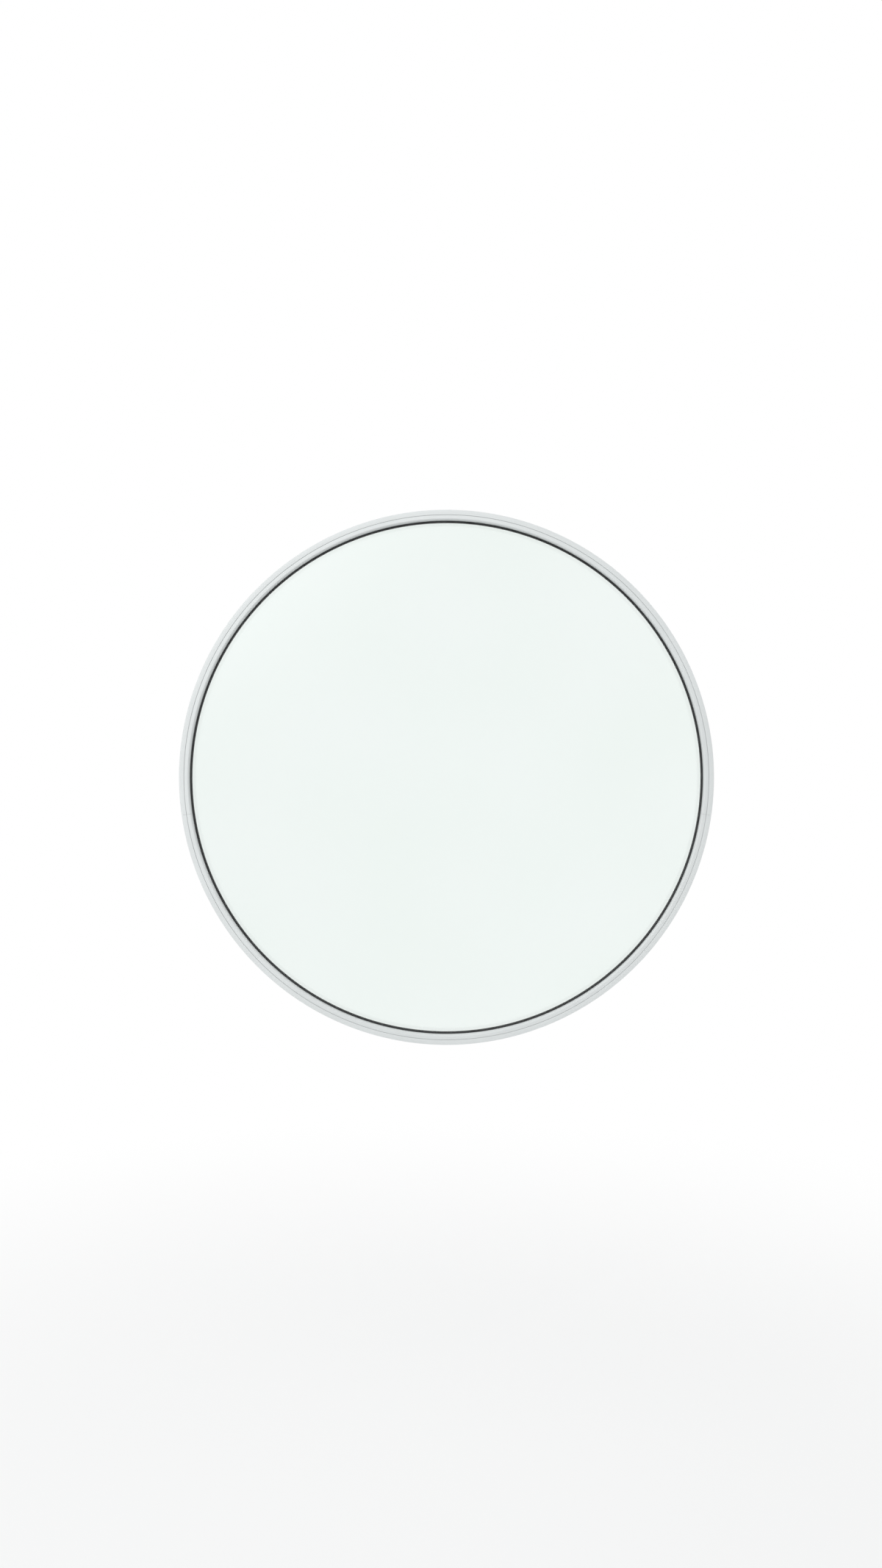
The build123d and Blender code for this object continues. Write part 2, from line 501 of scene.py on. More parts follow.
@dataclass(frozen=True)
class Section:
    """An outline, with a hollow in it if it has one, that is spun round the window's axis."""

    outline: tuple[Corner, ...]
    hollow: tuple[Corner, ...] = ()

    @staticmethod
    def trace(corners: tuple[Corner, ...], angle: float) -> None:
        """Draws a closed loop in edit mode, by extruding one point from corner to corner.

        Args:
            corners: The loop's corners in order.
            angle: Where round the window it is drawn.
        """
        places = [corner.place(angle) for corner in corners]
        bpy.ops.mesh.select_all(action="DESELECT")
        bpy.ops.mesh.primitive_plane_add(size=SEED_SIZE, location=places[0])
        bpy.ops.mesh.merge(type="CENTER")
        for here, there in zip(places, places[1:] + places[:1]):
            bpy.ops.mesh.extrude_region_move(TRANSFORM_OT_translate={"value": there - here})
        bpy.ops.mesh.select_all(action="SELECT")
        bpy.ops.mesh.remove_doubles(threshold=WELD)

    def draw(self, name: str, angle: float) -> bpy.types.Object:
        """Draws the outline with its rounded corners, and leaves the object in edit mode.

        Args:
            name: The object's name.
            angle: Where round the window it is drawn.

        Returns:
            The new object, whose mesh is one flat face.
        """
        piece = add(bpy.ops.mesh.primitive_plane_add, size=SEED_SIZE, enter_editmode=True)
        piece.name = piece.data.name = name
        bpy.ops.mesh.delete(type="VERT")
        self.trace(self.outline, angle)
        bpy.ops.mesh.edge_face_add()
        for corner in self.outline:
            if corner.rounding:
                place = corner.place(angle)
                select(piece, Part.POINTS, lambda point: (point.co - place).length < SAME_PLACE)
                bpy.ops.mesh.bevel(offset=corner.rounding, segments=ROUND_STEPS, affect="VERTICES")
        return piece

    def spin(self, name: str, start: float = 0.0, sweep: float = FULL_TURN) -> bpy.types.Object:
        """Draws the section and spins it into a closed solid.

        Args:
            name: The object's name.
            start: Angle that it starts at, anticlockwise from the right as seen from the room.
            sweep: Angle that it is spun through.

        Returns:
            The solid, in object mode.
        """
        whole = sweep == FULL_TURN
        piece = self.draw(name, start)
        bpy.ops.mesh.select_all(action="SELECT")
        if whole or self.hollow:
            bpy.ops.mesh.delete(type="ONLY_FACE")
        if self.hollow:
            self.trace(self.hollow, start)
            bpy.ops.mesh.fill(use_beauty=True)
        bpy.ops.mesh.select_all(action="SELECT")
        steps = round(sweep / STEP_ANGLE)
        bpy.ops.mesh.spin(steps=steps, angle=sweep, center=ORIGIN, axis=AXIS, use_auto_merge=whole)
        bpy.ops.mesh.select_all(action="SELECT")
        bpy.ops.mesh.remove_doubles(threshold=WELD)
        bpy.ops.mesh.normals_make_consistent(inside=False)
        bpy.ops.object.mode_set(mode="OBJECT")
        return piece


def slab(r0: float, r1: float, y0: float, y1: float, rounding: float = 0.0) -> tuple[Corner, ...]:
    """Gives the corners of a rectangle between two radii and two depths."""
    return tuple(Corner(r, y, rounding) for r, y in ((r0, y0), (r1, y0), (r1, y1), (r0, y1)))


class Half(Enum):
    """The two lengths that each ring of the frame is bent in."""

    UPPER = "upper"
    LOWER = "lower"

    @property
    def start(self) -> float:
        """Angle where this half starts, anticlockwise from the right as seen from the room."""
        joint = Joints.RIGHT if self is Half.UPPER else Joints.LEFT
        return joint + Joints.HALF_GAP

    @property
    def sweep(self) -> float:
        """Angle that this half spans."""
        turn = Joints.LEFT - Joints.RIGHT
        return (turn if self is Half.UPPER else FULL_TURN - turn) - 2 * Joints.HALF_GAP


class Joints:
    """Where the two halves meet: on both sides, a little below the middle, with GAP at RADIUS."""

    DROP = radians(8.0)
    GAP = 0.3 * MM
    RADIUS = 575 * MM
    RIGHT = -DROP
    LEFT = pi + DROP
    HALF_GAP = GAP / 2 / RADIUS


@dataclass(frozen=True)
class Depths:
    """Depths along the window's axis and its main radii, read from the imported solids."""

    rim: float
    room_face: float
    room_shell_end: float
    outside_shell_end: float
    outside_face: float
    bead_front: float
    bead_back: float
    room_glass: float
    outer_glass: float
    glass_radius: float
    pane_thickness: float

    @classmethod
    def from_frame(cls) -> "Depths":
        """Reads the depths and radii from the solids' boxes.

        Returns:
            The depths and radii.
        """
        room_low, room_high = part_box("room_frame_upper")
        outside_low, outside_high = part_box("outside_frame_upper")
        bead_low, bead_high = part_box("glazing_bead_upper")
        inner_low, inner_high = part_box("room_pane")
        _, outer_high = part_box("outside_pane")
        return cls(
            rim=room_high.z,
            room_face=room_low.y,
            room_shell_end=room_high.y,
            outside_shell_end=outside_low.y,
            outside_face=outside_high.y,
            bead_front=bead_low.y,
            bead_back=bead_high.y,
            room_glass=inner_low.y,
            outer_glass=outer_high.y,
            glass_radius=inner_high.z,
            pane_thickness=inner_high.y - inner_low.y,
        )


@dataclass
class WindowFrame:
    """The frame: two aluminium shells in halves, joined by a plastic bar, drilled and drained."""

    depths: Depths
    face: float = 10.5 * MM
    rim_thickness: float = 7.5 * MM
    wall: float = 1.6 * MM
    slot_depth: float = 3.0 * MM
    bar_play: float = 0.1 * MM
    leg_depth: float = 9.0 * MM
    leg_height: float = 10.0 * MM
    groove_width: float = 2.0 * MM
    groove_depth: float = 2.6 * MM
    rib_thickness: float = 1.4 * MM
    rib_from_bead_end: float = 3.6 * MM
    rib_height: float = 3.2 * MM
    edge_round: float = 0.5 * MM
    fixing_radius: float = 3.5 * MM
    fixing_count: int = 6
    fixing_sides: int = 32
    drain_angle: float = radians(12.0)
    drain_length: float = 25.0 * MM
    drain_width: float = 3.0 * MM
    drain_end_steps: int = 8
    rivet_from_joint: float = 25.0 * MM
    overshoot: float = 1.0 * MM

    def __post_init__(self) -> None:
        """Works out the radii and depths that the sections share."""
        self.floor = self.depths.rim - self.rim_thickness
        self.chamber_in = self.floor + self.wall
        self.chamber_out = self.depths.rim - self.wall
        self.chamber_middle = (self.chamber_in + self.chamber_out) / 2
        self.rib_back = self.depths.bead_back - self.rib_from_bead_end
        self.rib_front = self.rib_back - self.rib_thickness
        self.leg_tip = self.floor - self.leg_height
        self.leg_seat = self.depths.outside_face - self.leg_depth
        self.room_chamber = (
            self.depths.room_face + self.wall,
            self.depths.room_shell_end - self.slot_depth - self.wall,
        )
        self.outside_chamber = (
            self.depths.outside_shell_end + self.slot_depth + self.wall,
            self.depths.outside_face - self.wall,
        )

    def bar_slot(self, end: float, inward: float) -> list[Corner]:
        """Gives the corners of the slot that the plastic bar sits in, from outside to inside.

        Args:
            end: Depth of the shell's end, where the slot is open.
            inward: Which way it goes into the shell, -1 towards the room or 1 away from it.

        Returns:
            The four corners.
        """
        floor = end + inward * self.slot_depth
        radii = (self.chamber_out, self.chamber_out, self.chamber_in, self.chamber_in)
        return [Corner(r, y) for r, y in zip(radii, (end, floor, floor, end))]

    def room_shell(self) -> Section:
        """Gives the room shell's section, with the lip that shows beside the bead.

        Returns:
            The section with its hollow.
        """
        d = self.depths
        rib_tip = self.floor - self.rib_height
        lip = d.rim - self.face
        outline = (
            Corner(d.rim, d.room_face, self.edge_round),
            Corner(d.rim, d.room_shell_end, self.edge_round),
            *self.bar_slot(d.room_shell_end, -1),
            Corner(self.floor, d.room_shell_end),
            Corner(self.floor, self.rib_back),
            Corner(rib_tip, self.rib_back),
            Corner(rib_tip, self.rib_front),
            Corner(self.floor, self.rib_front),
            Corner(self.floor, d.room_face + self.wall),
            Corner(lip, d.room_face + self.wall),
            Corner(lip, d.room_face, self.edge_round),
        )
        return Section(outline, slab(self.chamber_in, self.chamber_out, *self.room_chamber))

    def outside_shell(self) -> Section:
        """Gives the outside shell's section, with the leg that the glass is pressed against.

        Returns:
            The section with its hollow.
        """
        d = self.depths
        groove_near = self.leg_tip + self.wall
        groove_far = groove_near + self.groove_width
        groove_floor = self.leg_seat + self.groove_depth
        outline = (
            Corner(d.rim, d.outside_face, self.edge_round),
            Corner(self.leg_tip, d.outside_face, self.edge_round),
            Corner(self.leg_tip, self.leg_seat, self.edge_round),
            Corner(groove_near, self.leg_seat),
            Corner(groove_near, groove_floor),
            Corner(groove_far, groove_floor),
            Corner(groove_far, self.leg_seat),
            Corner(self.floor, self.leg_seat),
            Corner(self.floor, d.outside_shell_end),
            *reversed(self.bar_slot(d.outside_shell_end, 1)),
            Corner(d.rim, d.outside_shell_end, self.edge_round),
        )
        rim_near, far = self.outside_chamber
        leg_near = groove_floor + self.wall
        hollow = (
            Corner(self.chamber_in, rim_near),
            Corner(self.chamber_out, rim_near),
            Corner(self.chamber_out, far),
            Corner(self.leg_tip + self.wall, far),
            Corner(self.leg_tip + self.wall, leg_near),
            Corner(self.chamber_in, leg_near),
        )
        return Section(outline, hollow)

    def bar(self) -> Section:
        """Gives the section of the plastic bar, which shows between the shells on the rim.

        Returns:
            The section.
        """
        play = self.bar_play
        room_end = self.depths.room_shell_end - self.slot_depth
        outside_end = self.depths.outside_shell_end + self.slot_depth
        ends = room_end + play, outside_end - play
        return Section(slab(self.chamber_in + play, self.chamber_out - play, *ends))

    def fixing_drills(self) -> list[bpy.types.Object]:
        """Makes the cutters of the frame screws' holes, evenly round the room shell.

        Returns:
            A cutter for each hole.
        """
        depth = (self.depths.room_face + self.wall + self.rib_front) / 2
        length = self.rim_thickness + 2 * self.overshoot
        middle = self.depths.rim - self.rim_thickness / 2
        drills = []
        for i in range(self.fixing_count):
            angle = FULL_TURN * (i + 0.5) / self.fixing_count
            drill = add(
                bpy.ops.mesh.primitive_cylinder_add,
                vertices=self.fixing_sides,
                radius=self.fixing_radius,
                depth=length,
                location=Corner(middle, depth).place(angle),
                rotation=(0.0, pi / 2 - angle, 0.0),
            )
            drills.append(drill)
        return drills

    def drain_angles(self) -> dict[str, float]:
        """Gives the angle of each drain slot, either side of the lowest point."""
        return {"left": -pi / 2 - self.drain_angle, "right": -pi / 2 + self.drain_angle}

    def drain_cutters(self) -> list[bpy.types.Object]:
        """Makes the cutters of the drain slots in the outside face, with round ends.

        Returns:
            A cutter for each slot.
        """
        size = (self.drain_width, 2 * self.wall + self.overshoot, self.drain_length)
        first = add_block(ORIGIN, size)
        bpy.ops.object.mode_set(mode="EDIT")
        select(first, Part.EDGES, lambda edge: edge.verts[0].co.y * edge.verts[1].co.y < 0)
        rounding = self.drain_width / 2 - END_FLAT
        bpy.ops.mesh.bevel(offset=rounding, segments=self.drain_end_steps, affect="EDGES")
        bpy.ops.object.mode_set(mode="OBJECT")
        middle = Corner(self.chamber_middle, self.depths.outside_face)
        angles = self.drain_angles().values()
        cutters = [copy_of(first, middle.place(angle), -angle) for angle in angles]
        bpy.data.objects.remove(first)
        return cutters

    def rivet_angles(self, half: Half) -> tuple[float, float]:
        """Gives the two angles at which a half is riveted to its splice bars."""
        inset = self.rivet_from_joint / self.depths.rim
        return half.start + inset, half.start + half.sweep - inset

    def build(self, paint: Paintbox, rivets: "SpliceRivets") -> None:
        """Builds both halves of the shells and the bar, and dresses them and the splice bars.

        Args:
            paint: The finishes.
            rivets: The rivets whose seats are cut in the rims.
        """
        for half in Half:
            drains = self.drain_cutters() if half is Half.LOWER else []
            for side, section, chamber, cutters in (
                ("room", self.room_shell(), self.room_chamber, self.fixing_drills()),
                ("outside", self.outside_shell(), self.outside_chamber, drains),
            ):
                shell = section.spin(f"{side}_shell_{half.value}", half.start, half.sweep)
                seats = [rivets.seat(angle, chamber) for angle in self.rivet_angles(half)]
                merge(shell, Merge.CUT, cutters + seats)
                hand_over(shell, paint, POWDER_COAT, "frame_coating", f"{side}_frame_{half.value}")
            bar = self.bar().spin(f"break_bar_{half.value}", half.start, half.sweep)
            hand_over(bar, paint, POLYAMIDE, "polyamide", f"thermal_bar_{half.value}")
        for side in ("room", "outside"):
            paint.dress_node(f"{side}_splice_left", MILL_ALUMINIUM)
            paint.dress_node(f"{side}_splice_right", MILL_ALUMINIUM)


@dataclass
class SpliceRivets:
    """Countersunk blind rivets that fix the rims to the splice bars inside them."""

    rim: float
    head_radius: float = 3.5 * MM
    head_depth: float = 1.4 * MM
    head_play: float = 0.15 * MM
    sunk: float = 0.08 * MM
    shank_radius: float = 2.0 * MM
    shank_length: float = 5.0 * MM
    mandrel_radius: float = 1.1 * MM
    mandrel_depth: float = 0.8 * MM
    edge_round: float = 0.12 * MM
    sides: int = 40

    def seat(self, angle: float, chamber: tuple[float, float]) -> bpy.types.Object:
        """Makes the cutter of one countersunk seat, which flares past the rim.

        Args:
            angle: Where round the window it is.
            chamber: Depths of the ends of the hollow under it, which it is midway between.

        Returns:
            The cutter.
        """
        flare = (self.head_radius - self.shank_radius) / self.head_depth
        past = self.head_depth
        return add(
            bpy.ops.mesh.primitive_cone_add,
            vertices=self.sides,
            radius1=self.shank_radius,
            radius2=self.head_radius + past * flare,
            depth=self.head_depth + past,
            location=Corner(self.rim, sum(chamber) / 2).place(angle),
            rotation=(0.0, pi / 2 - angle, 0.0),
        )

    def rivet(self) -> bpy.types.Object:
        """Models one rivet, upright, with its head's face just under the origin.

        Returns:
            The rivet.
        """
        head_radius = self.head_radius - self.head_play
        rivet = add(
            bpy.ops.mesh.primitive_cone_add,
            vertices=self.sides,
            radius1=self.shank_radius - self.head_play,
            radius2=head_radius,
            depth=self.head_depth,
            location=(0.0, 0.0, -self.sunk - self.head_depth / 2),
        )
        bpy.ops.object.transform_apply(location=True, rotation=False, scale=False)
        bpy.ops.object.mode_set(mode="EDIT")
        select(rivet, Part.FACES, lambda face: face.normal.z < -SAME_WAY)
        move = {"value": (0.0, 0.0, -self.shank_length)}
        bpy.ops.mesh.extrude_region_move(TRANSFORM_OT_translate=move)
        select(rivet, Part.FACES, lambda face: face.normal.z > SAME_WAY)
        bpy.ops.mesh.inset(thickness=head_radius - self.mandrel_radius)
        move = {"value": (0.0, 0.0, -self.mandrel_depth)}
        bpy.ops.mesh.extrude_region_move(TRANSFORM_OT_translate=move)
        bpy.ops.object.mode_set(mode="OBJECT")
        soften(rivet, self.edge_round)
        return rivet

    def build(self, window: WindowFrame, paint: Paintbox) -> None:
        """Models one rivet and sets copies of it in both rims, on each side of each joint.

        Args:
            window: The frame that they go into.
            paint: The finishes.
        """
        first = self.rivet()
        copies = []
        for half in Half:
            for angle in window.rivet_angles(half):
                for chamber in (window.room_chamber, window.outside_chamber):
                    place = Corner(self.rim, sum(chamber) / 2).place(angle)
                    copies.append(copy_of(first, place, pi / 2 - angle))
        bpy.data.objects.remove(first)
        choose(*copies)
        bpy.ops.object.join()
        rivets = bpy.context.object
        rivets.name = rivets.data.name = "splice_rivets"
        hand_over(rivets, paint, MILL_ALUMINIUM, "mill_aluminium")


@dataclass
class DrainCovers:
    """Moulded hoods over the drain slots, open to the frame and downwards, on two legs each.

    Their front is rounded on its closed sides, and the mouth keeps the wall's full thickness.
    """

    window: WindowFrame
    height: float = 7.0 * MM
    depth: float = 5.0 * MM
    length: float = 34.0 * MM
    wall: float = 1.2 * MM
    corner: float = 1.5 * MM
    corner_steps: int = 6
    edge_round: float = 0.2 * MM
    leg_width: float = 2.8 * MM
    leg_length: float = 3.0 * MM
    leg_from_middle: float = 9.5 * MM

    def hood(self) -> bpy.types.Object:
        """Models one cover at the right of the window, where its open side looks outwards.

        Returns:
            The cover.
        """
        radius = self.window.chamber_middle
        face = self.window.depths.outside_face
        halfway = face + self.depth / 2
        hood = add_block((radius, halfway, 0.0), (self.height, self.depth, self.length))
        bpy.ops.object.mode_set(mode="EDIT")
        select(
            hood,
            Part.EDGES,
            lambda edge: all(point.co.y > halfway for point in edge.verts)
            and any(point.co.x < radius for point in edge.verts),
        )
        bpy.ops.mesh.bevel(offset=self.corner, segments=self.corner_steps, affect="EDGES")
        bpy.ops.object.mode_set(mode="OBJECT")
        hollow = add_block(
            (radius + self.wall, halfway - self.wall, 0.0),
            (self.height, self.depth, self.length - 2 * self.wall),
        )
        merge(hood, Merge.CUT, [hollow])
        leg = self.leg_length + self.depth - self.wall / 2
        middle = face - self.leg_length + leg / 2
        legs = [
            add_block((radius, middle, along), (self.leg_width, leg, self.wall))
            for along in (-self.leg_from_middle, self.leg_from_middle)
        ]
        merge(hood, Merge.WELD, legs)
        soften(hood, self.edge_round)
        return hood

    def build(self, paint: Paintbox) -> None:
        """Models one cover and sets a copy of it over each drain slot.

        Args:
            paint: The finishes.
        """
        first = self.hood()
        for side, angle in self.window.drain_angles().items():
            cover = copy_of(first, ORIGIN, -angle)
            cover.name = cover.data.name = f"drain_cover_{side}"
            hand_over(cover, paint, COVER_PLASTIC, "cover_plastic", f"weep_cover_{side}")
        bpy.data.objects.remove(first)


@dataclass
class GlazingBead:
    """The bead that snaps in from the room and holds the glass, in two halves."""

    depths: Depths
    frame_face: float
    face: float = 10.5 * MM
    wall: float = 1.4 * MM
    gap: float = 0.4 * MM
    bevel: float = 2.5 * MM
    edge_round: float = 0.4 * MM
    groove_width: float = 2.0 * MM
    groove_depth: float = 2.6 * MM
    barb_height: float = 1.1 * MM
    barb_length: float = 1.8 * MM
    barb_from_bead_end: float = 3.4 * MM

    @property
    def sight_radius(self) -> float:
        """Radius of the opening that the bead leaves."""
        return self.depths.rim - self.frame_face - self.face

    def section(self) -> Section:
        """Gives the bead's section: bevelled nose of even wall, gasket groove and barbed leg.

        Returns:
            The section.
        """
        d = self.depths
        sight = self.sight_radius
        outside = d.rim - self.frame_face - self.gap
        groove_near = sight + self.wall
        groove_far = groove_near + self.groove_width
        groove_floor = d.bead_back - self.groove_depth
        housing_end = groove_floor - self.wall
        inside_face = d.bead_front + self.wall
        inside_bevel = self.bevel - self.wall * (2 - sqrt(2))
        barb = d.bead_back - self.barb_from_bead_end
        outline = (
            Corner(sight, d.bead_front + self.bevel, self.edge_round),
            Corner(sight, d.bead_back, self.edge_round),
            Corner(groove_near, d.bead_back),
            Corner(groove_near, groove_floor),
            Corner(groove_far, groove_floor),
            Corner(groove_far, d.bead_back),
            Corner(groove_far + self.wall, d.bead_back),
            Corner(groove_far + self.wall, housing_end),
            Corner(groove_near, housing_end),
            Corner(groove_near, inside_face + inside_bevel),
            Corner(groove_near + inside_bevel, inside_face),
            Corner(outside - self.wall, inside_face),
            Corner(outside - self.wall, barb + self.barb_length),
            Corner(outside, barb + self.barb_length),
            Corner(outside + self.barb_height, barb),
            Corner(outside, barb),
            Corner(outside, d.bead_front, self.edge_round),
            Corner(sight + self.bevel, d.bead_front, self.edge_round),
        )
        return Section(outline)

    def build(self, paint: Paintbox) -> None:
        """Builds both halves and dresses them as the frame is.

        Args:
            paint: The finishes.
        """
        for half in Half:
            bead = self.section().spin(f"snap_bead_{half.value}", half.start, half.sweep)
            hand_over(bead, paint, POWDER_COAT, "frame_coating", f"glazing_bead_{half.value}")


@dataclass
class GlassUnit:
    """The insulating glass: two panes, the spacer between them, its seal, and both gaskets."""

    window: WindowFrame
    bead: GlazingBead
    pane_sides: int = 360
    arris: float = 0.6 * MM
    foot_play: float = 0.1 * MM
    heel: float = 1.3 * MM
    room_lip: float = 2.5 * MM
    outside_lip: float = 1.5 * MM
    lip_edge: float = 1.2 * MM
    lip_round: float = 0.5 * MM
    seal_height: float = 3.5 * MM
    spacer_height: float = 6.0 * MM
    spacer_round: float = 0.4 * MM

    def spacer(self) -> Section:
        """Gives the section of the foam spacer, between the panes and inside the edge seal.

        Returns:
            The section.
        """
        d = self.window.depths
        outside = d.glass_radius - self.seal_height
        inside = outside - self.spacer_height
        room_side = d.room_glass + d.pane_thickness
        outer_side = d.outer_glass - d.pane_thickness
        return Section(slab(inside, outside, room_side, outer_side, self.spacer_round))

    def pane(self, name: str, room_side: float, paint: Paintbox, node: str) -> None:
        """Makes a pane with ground arrises, from a disc. Clear glass hardly casts a shadow.

        Args:
            name: The piece's name.
            room_side: Depth of the face towards the room.
            paint: The finishes.
            node: The solid that it replaces.
        """
        d = self.window.depths
        pane = add(
            bpy.ops.mesh.primitive_cylinder_add,
            vertices=self.pane_sides,
            radius=d.glass_radius,
            depth=d.pane_thickness,
            location=(0.0, room_side + d.pane_thickness / 2, 0.0),
            rotation=(pi / 2, 0.0, 0.0),
        )
        pane.name = pane.data.name = name
        bpy.ops.object.mode_set(mode="EDIT")
        select(
            pane,
            Part.EDGES,
            lambda edge: any(len(face.verts) == self.pane_sides for face in edge.link_faces),
        )
        bpy.ops.mesh.bevel(offset=self.arris, segments=1, affect="EDGES")
        bpy.ops.object.mode_set(mode="OBJECT")
        pane.visible_shadow = False
        hand_over(pane, paint, FLOAT_GLASS, "float_glass", node)

    def gasket(
        self, holder: WindowFrame | GlazingBead, edge: float, seat: float, lip: float, glass: float
    ) -> Section:
        """Gives a gasket's section, from the glass to its seat, with its foot in the groove.

        Args:
            holder: What has the groove, its wall's thickness away from the seat's edge.
            edge: Radius of the seat's edge.
            seat: Depth of the seat.
            lip: How far the lip stands past the edge.
            glass: Depth of the glass face.

        Returns:
            The section.
        """
        inward = 1 if seat > glass else -1
        near = edge + holder.wall + self.foot_play
        far = edge + holder.wall + holder.groove_width - self.foot_play
        foot = seat + inward * (holder.groove_depth - self.foot_play)
        outline = (
            Corner(edge - lip, glass, self.lip_round),
            Corner(edge - lip, glass + inward * self.lip_edge, self.lip_round),
            Corner(edge, seat),
            Corner(near, seat),
            Corner(near, foot),
            Corner(far, foot),
            Corner(far, seat),
            Corner(far + self.heel, seat),
            Corner(far + self.heel, glass),
        )
        return Section(outline)

    def build(self, paint: Paintbox) -> None:
        """Builds the panes, gaskets and spacer, and dresses the solids that keep their shape.

        Args:
            paint: The finishes.
        """
        window, bead = self.window, self.bead
        d = window.depths
        self.pane("inner_glass", d.room_glass, paint, "room_pane")
        self.pane("outer_glass", d.outer_glass - d.pane_thickness, paint, "outside_pane")
        room = self.gasket(bead, bead.sight_radius, d.bead_back, self.room_lip, d.room_glass)
        seat = window.leg_tip, window.leg_seat
        outside = self.gasket(window, *seat, self.outside_lip, d.outer_glass)
        for section, name, finish, slot, node in (
            (room, "bead_gasket", GASKET_RUBBER, "gasket_rubber", "room_gasket"),
            (outside, "leg_gasket", GASKET_RUBBER, "gasket_rubber", "outside_gasket"),
            (self.spacer(), "foam_spacer", SPACER_FOAM, "spacer_foam", "spacer_bar"),
        ):
            hand_over(section.spin(name), paint, finish, slot, node)
        paint.dress_node("edge_seal", EDGE_SEALANT)
        for side in ("left", "right"):
            paint.dress_node(f"setting_block_{side}", BLOCK_PLASTIC)
            paint.dress_node(f"location_block_{side}", BLOCK_PLASTIC)


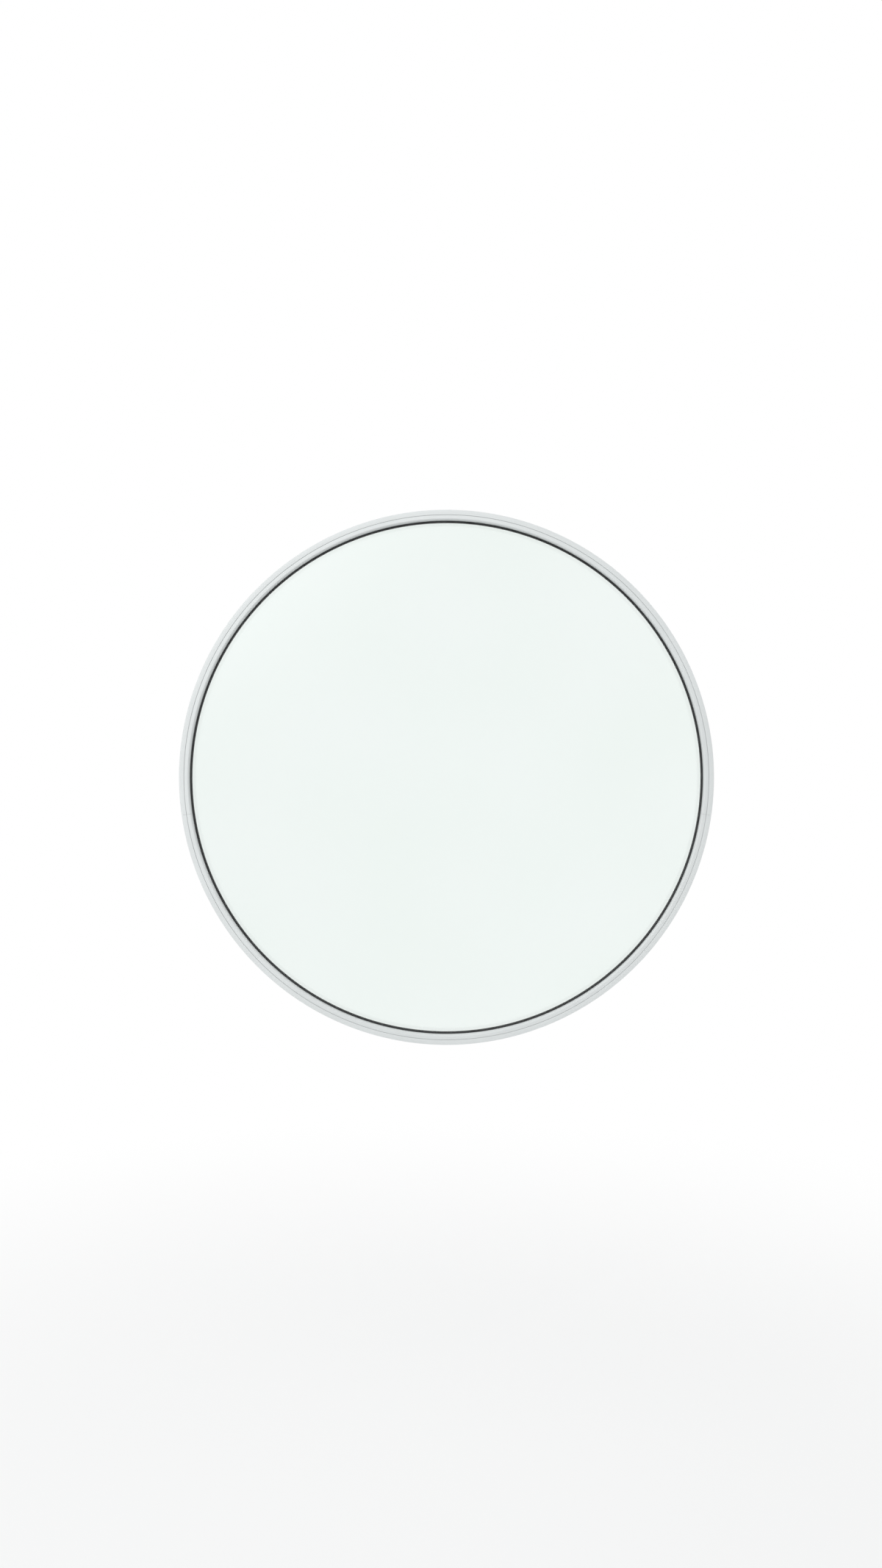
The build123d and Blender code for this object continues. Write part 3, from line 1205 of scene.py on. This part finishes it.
@dataclass
class Studio:
    """A plain pale floor, a white surround and two soft lamps.

    The floor fades into the surround between two shares of its radius. A lamp is at full strength
    to lamp_core from its middle, and dark from lamp_end, in shares of its width.
    """

    floor_drop: float = 1.59
    floor_radius: float = 3.2
    floor_sides: int = 96
    floor_colour: str = "#EDEEEE"
    floor_roughness: float = 0.8
    floor_glow: float = 0.45
    fade_start: float = 0.25
    fade_end: float = 0.97
    surround_light: float = 0.7
    lamp_size: float = 6.0
    lamp_middle: tuple[float, float, float] = (0.5, 0.5, 0.0)
    lamp_core: float = 0.15
    lamp_end: float = 0.5
    key_place: tuple[float, float, float] = (-1.8, -2.6, 2.0)
    key_power: float = 195.0
    back_place: tuple[float, float, float] = (1.6, 2.4, 1.9)
    back_power: float = 155.0

    @staticmethod
    def seen_ray(tree: bpy.types.NodeTree) -> bpy.types.NodeSocket:
        """Gives 1 for rays that show the background: straight, reflected or through glass.

        Args:
            tree: The node tree that asks.

        Returns:
            The socket that gives it.
        """
        path = add_node(tree, "ShaderNodeLightPath")
        seen = path.outputs["Is Camera Ray"]
        for ray in ("Is Glossy Ray", "Is Transmission Ray"):
            links = {0: seen, 1: path.outputs[ray]}
            seen = add_node(tree, "ShaderNodeMath", {"operation": "MAXIMUM"}, links).outputs[0]
        return seen

    def surround(self) -> None:
        """Makes the world: white where it shows, and plain light everywhere else."""
        world = bpy.data.worlds.new("studio_surround")
        world.use_nodes = True
        bpy.context.scene.world = world
        tree = world.node_tree
        tree.nodes.clear()
        plain = {"Color": WHITE, "Strength": self.surround_light}
        light = add_node(tree, "ShaderNodeBackground", plain)
        white = add_node(tree, "ShaderNodeBackground", {"Color": WHITE, "Strength": 1.0})
        both = {0: self.seen_ray(tree), 1: light.outputs[0], 2: white.outputs[0]}
        mixed = add_node(tree, "ShaderNodeMixShader", links=both)
        add_node(tree, "ShaderNodeOutputWorld", links={"Surface": mixed.outputs[0]})

    def floor_paint(self) -> bpy.types.Material:
        """Makes matt white paint that fades into the surround and is clear from underneath.

        Returns:
            The material with all its nodes.
        """
        material, tree, place = new_material("matt_floor_paint")
        distance = add_node(tree, "ShaderNodeVectorMath", {"operation": "LENGTH"}, {0: place})
        span = {
            "interpolation_type": "SMOOTHSTEP",
            "From Min": self.floor_radius * self.fade_start,
            "From Max": self.floor_radius * self.fade_end,
            "To Min": self.floor_glow,
            "To Max": 1.0,
        }
        fade = add_node(tree, "ShaderNodeMapRange", span, {"Value": distance.outputs["Value"]})
        both = {0: fade.outputs["Result"], 1: self.seen_ray(tree)}
        glow = add_node(tree, "ShaderNodeMath", {"operation": "MULTIPLY"}, both)
        matt = {"Color": linear_colour(self.floor_colour), "Roughness": self.floor_roughness}
        paint = add_node(tree, "ShaderNodeBsdfDiffuse", matt)
        white = add_node(tree, "ShaderNodeEmission", {"Color": WHITE, "Strength": 1.0})
        both = {0: glow.outputs[0], 1: paint.outputs[0], 2: white.outputs[0]}
        top = add_node(tree, "ShaderNodeMixShader", links=both)
        underneath = add_node(tree, "ShaderNodeNewGeometry").outputs["Backfacing"]
        clear = add_node(tree, "ShaderNodeBsdfTransparent")
        both = {0: underneath, 1: top.outputs[0], 2: clear.outputs[0]}
        sides = add_node(tree, "ShaderNodeMixShader", links=both)
        add_node(tree, "ShaderNodeOutputMaterial", links={"Surface": sides.outputs[0]})
        return material

    def floor(self) -> None:
        """Lays a round floor under the window, which keeps its shadow."""
        floor = add(
            bpy.ops.mesh.primitive_circle_add,
            vertices=self.floor_sides,
            radius=self.floor_radius,
            fill_type="NGON",
            location=(0.0, 0.0, -self.floor_drop),
        )
        floor.name = "studio_floor"
        floor.data.materials.append(self.floor_paint())

    def softbox(self, name: str, place: Vector, power: float) -> None:
        """Hangs a softbox that faces the window and dims softly from its middle to its edge.

        Args:
            name: The lamp's name.
            place: Where it hangs.
            power: Its power, in watts, before it is dimmed.
        """
        lamp = bpy.data.lights.new(name, "AREA")
        lamp.size = self.lamp_size
        lamp.energy = power
        lamp.use_nodes = True
        tree = lamp.node_tree
        tree.nodes.clear()
        across = add_node(tree, "ShaderNodeNewGeometry").outputs["Parametric"]
        reach = {"operation": "DISTANCE", 1: self.lamp_middle}
        distance = add_node(tree, "ShaderNodeVectorMath", reach, {0: across})
        span = {
            "interpolation_type": "SMOOTHSTEP",
            "From Min": self.lamp_core,
            "From Max": self.lamp_end,
            "To Min": 1.0,
            "To Max": 0.0,
        }
        dimming = add_node(tree, "ShaderNodeMapRange", span, {"Value": distance.outputs["Value"]})
        glow = add_node(tree, "ShaderNodeEmission", links={"Strength": dimming.outputs["Result"]})
        add_node(tree, "ShaderNodeOutputLight", links={"Surface": glow.outputs[0]})
        holder = bpy.data.objects.new(name, lamp)
        bpy.context.scene.collection.objects.link(holder)
        holder.location = place
        holder.rotation_euler = (-place).to_track_quat("-Z", "Y").to_euler()
        holder.visible_camera = False
        holder.visible_transmission = False

    def build(self) -> None:
        """Sets the surround, the floor and the lamps."""
        self.surround()
        self.floor()
        self.softbox("key_softbox", Vector(self.key_place), self.key_power)
        self.softbox("back_softbox", Vector(self.back_place), self.back_power)
        bpy.context.scene.view_settings.view_transform = "Standard"
        LOG.info("studio: floor %.2f m below the window's middle", self.floor_drop)


@dataclass
class PhotoCamera:
    """The camera, at the photograph's distance, height and framing."""

    depths: Depths
    image_height: float = 2133.0
    image_width: float = 1200.0
    focal_pixels: float = 1700.0
    centre_x: float = 607.1
    centre_y: float = 1058.2
    distance: float = 2.685
    rise: float = 0.02
    sensor: float = 36.0

    def build(self) -> None:
        """Places the camera so that the window's middle falls on its pixel of the photograph."""
        data = bpy.data.cameras.new("photo_camera")
        data.sensor_fit = "AUTO"
        data.sensor_width = self.sensor
        data.lens = self.sensor * self.focal_pixels / self.image_height
        data.dof.use_dof = False
        camera = bpy.data.objects.new("photo_camera", data)
        bpy.context.scene.collection.objects.link(camera)
        reach = self.distance - self.depths.room_face
        camera.location = (0.0, -reach, self.rise)
        right = atan2(self.centre_x - self.image_width / 2, self.focal_pixels)
        above = atan2(self.image_height / 2 - self.centre_y, self.focal_pixels)
        dip = atan2(self.rise, reach) + above
        camera.rotation_euler = (pi / 2 - dip, 0.0, right)
        bpy.context.scene.camera = camera
        turns = degrees(right), degrees(dip)
        LOG.info("camera: %.1f mm lens, turned %.2f and %.2f degrees", data.lens, *turns)


def corners(box: tuple[Vector, Vector]) -> list[list[float]]:
    """Turns a box's two corners into plain lists."""
    return [list(corner) for corner in box]


def main() -> None:
    """Loads the frame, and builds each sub-assembly in order."""
    logging.basicConfig(level=logging.INFO, format="%(name)s: %(message)s")
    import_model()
    depths = Depths.from_frame()
    PhotoCamera(depths).build()
    Studio().build()
    paint = Paintbox()
    window = WindowFrame(depths)
    rivets = SpliceRivets(depths.rim)
    window.build(paint, rivets)
    rivets.build(window, paint)
    DrainCovers(window).build(paint)
    bead = GlazingBead(depths, window.face)
    bead.build(paint)
    GlassUnit(window, bead).build(paint)


if __name__ == "__main__":
    main()
